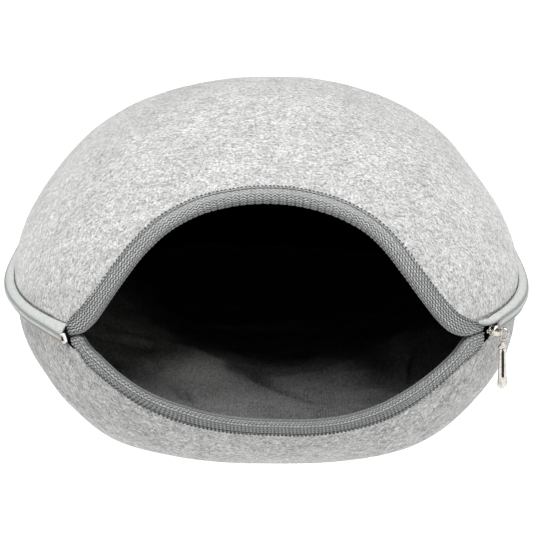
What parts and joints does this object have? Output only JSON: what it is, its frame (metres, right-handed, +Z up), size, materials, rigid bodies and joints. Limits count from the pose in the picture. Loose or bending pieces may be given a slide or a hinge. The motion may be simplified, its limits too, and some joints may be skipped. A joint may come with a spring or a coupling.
{
  "type": "felt cat cave",
  "caption": "Domed felt pet bed in two shells joined round their rims by a zip, with a wide front mouth bound in webbing and a plush cushion inside.",
  "frame": {"origin": "on the floor under the middle of the zip's oval, in the flat base of the bowl", "axes": "+Z up, -Y towards the open mouth, +X towards the side of the mouth that has the zip slider"},
  "size_m": [0.4447, 0.4001, 0.3035],
  "materials": {
    "felt": "melange needled felt",
    "webbing": "herringbone weave",
    "zip_tape": "smooth close weave",
    "plush": "short soft pile",
    "nickel": "polished nickel plate"
  },
  "bodies": {
    "root": {"dome_felt": "felt", "bowl_felt": "felt", "arch_binding": "webbing", "lip_binding": "webbing", "zip_tape_upper": "zip_tape", "zip_tape_lower": "zip_tape", "cushion": "plush", "zip_slider": "nickel", "pull_ring": "nickel", "pull_tab": "nickel", "zip_box": "nickel"}
  },
  "joints": []
}
